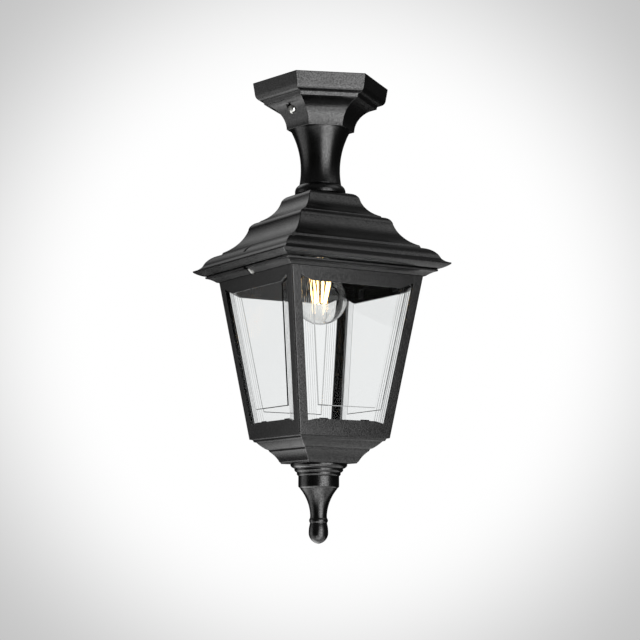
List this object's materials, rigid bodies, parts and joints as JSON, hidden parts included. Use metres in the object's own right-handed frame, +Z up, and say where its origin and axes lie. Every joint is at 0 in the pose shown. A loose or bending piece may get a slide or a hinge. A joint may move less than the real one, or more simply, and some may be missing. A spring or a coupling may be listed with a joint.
{
  "type": "ceiling lantern",
  "caption": "Porch ceiling lantern: hexagonal canopy and turned neck carry a tiered square roof; the tapered glazed cage swings down on a hinge to reach the lamp.",
  "frame": {"origin": "centre of the ceiling bracket's top face, on the ceiling plane and the stem's axis", "axes": "+Z up into the ceiling; -Y is the front; the catch is on the -X side of the cage and its hinge on the +X side"},
  "size_m": [0.1956, 0.1956, 0.4749],
  "materials": {
    "cast_black": "satin black powder coat",
    "zinc_steel": "zinc plated",
    "black_oxide_steel": "spring steel under black oxide",
    "stainless": "plain stainless steel",
    "brass": "plain brass",
    "terminal_nylon": "natural nylon",
    "lead_brown": "brown insulation",
    "lead_blue": "blue insulation",
    "lead_green_yellow": "green and yellow insulation",
    "phenolic": "black phenolic",
    "porcelain": "glazed porcelain",
    "pane_glass": "clear bevelled float glass",
    "lamp_glass": "clear blown glass",
    "lamp_cap_nickel": "nickel plated",
    "filament": "lit warm white filament"
  },
  "bodies": {
    "root": {"ceiling_bracket": "zinc_steel", "terminal_block": "terminal_nylon", "terminal_screws": "brass", "earth_screw": "brass", "lead_live": "lead_brown", "lead_neutral": "lead_blue", "lead_earth": "lead_green_yellow", "canopy": "cast_black", "canopy_screws": "stainless", "neck": "cast_black", "neck_collar": "cast_black", "stem_tube": "zinc_steel", "stem_nuts": "zinc_steel", "stem_washers": "zinc_steel", "roof": "cast_black", "hinge_pin": "stainless", "lampholder_cap": "phenolic", "lampholder_skirt": "phenolic", "lampholder_insert": "porcelain", "lampholder_shell": "brass", "lampholder_contact": "brass"},
    "cage": {"cornice": "cast_black", "cornice_screws": "zinc_steel", "catch_pin": "stainless", "side_frame_front": "cast_black", "side_frame_right": "cast_black", "side_frame_back": "cast_black", "side_frame_left": "cast_black", "glass_front": "pane_glass", "glass_right": "pane_glass", "glass_back": "pane_glass", "glass_left": "pane_glass", "glass_clips": "black_oxide_steel", "clip_screws": "black_oxide_steel", "bottom_tray": "cast_black", "tray_screws": "zinc_steel", "finial_base": "cast_black", "finial": "cast_black", "finial_stud": "zinc_steel", "finial_nut": "zinc_steel"},
    "catch": {"catch_lever": "stainless"},
    "lamp": {"lamp_envelope": "lamp_glass", "lamp_cap": "lamp_cap_nickel", "lamp_cap_insulator": "phenolic", "lamp_cap_contact": "lamp_cap_nickel", "lamp_stem": "lamp_glass", "lamp_filaments": "filament", "lamp_wires": "zinc_steel"}
  },
  "joints": [
    {"name": "cage_hinge", "type": "hinge", "parent": "root", "child": "cage", "pos_m": [0.092, 0, -0.1997], "axis": [0, -1, 0], "range_deg": [0, 90]},
    {"name": "catch_turn", "type": "hinge", "parent": "cage", "child": "catch", "pos_m": [-0.0776, 0, -0.2009], "axis": [0, 1, 0], "range_deg": [0, 8], "stiffness_Nm_per_rad": 0.05},
    {"name": "lamp_turn", "type": "hinge", "parent": "root", "child": "lamp", "pos_m": [0, 0, -0.2], "axis": [0, 0, -1], "range_deg": [0, 900]}
  ]
}
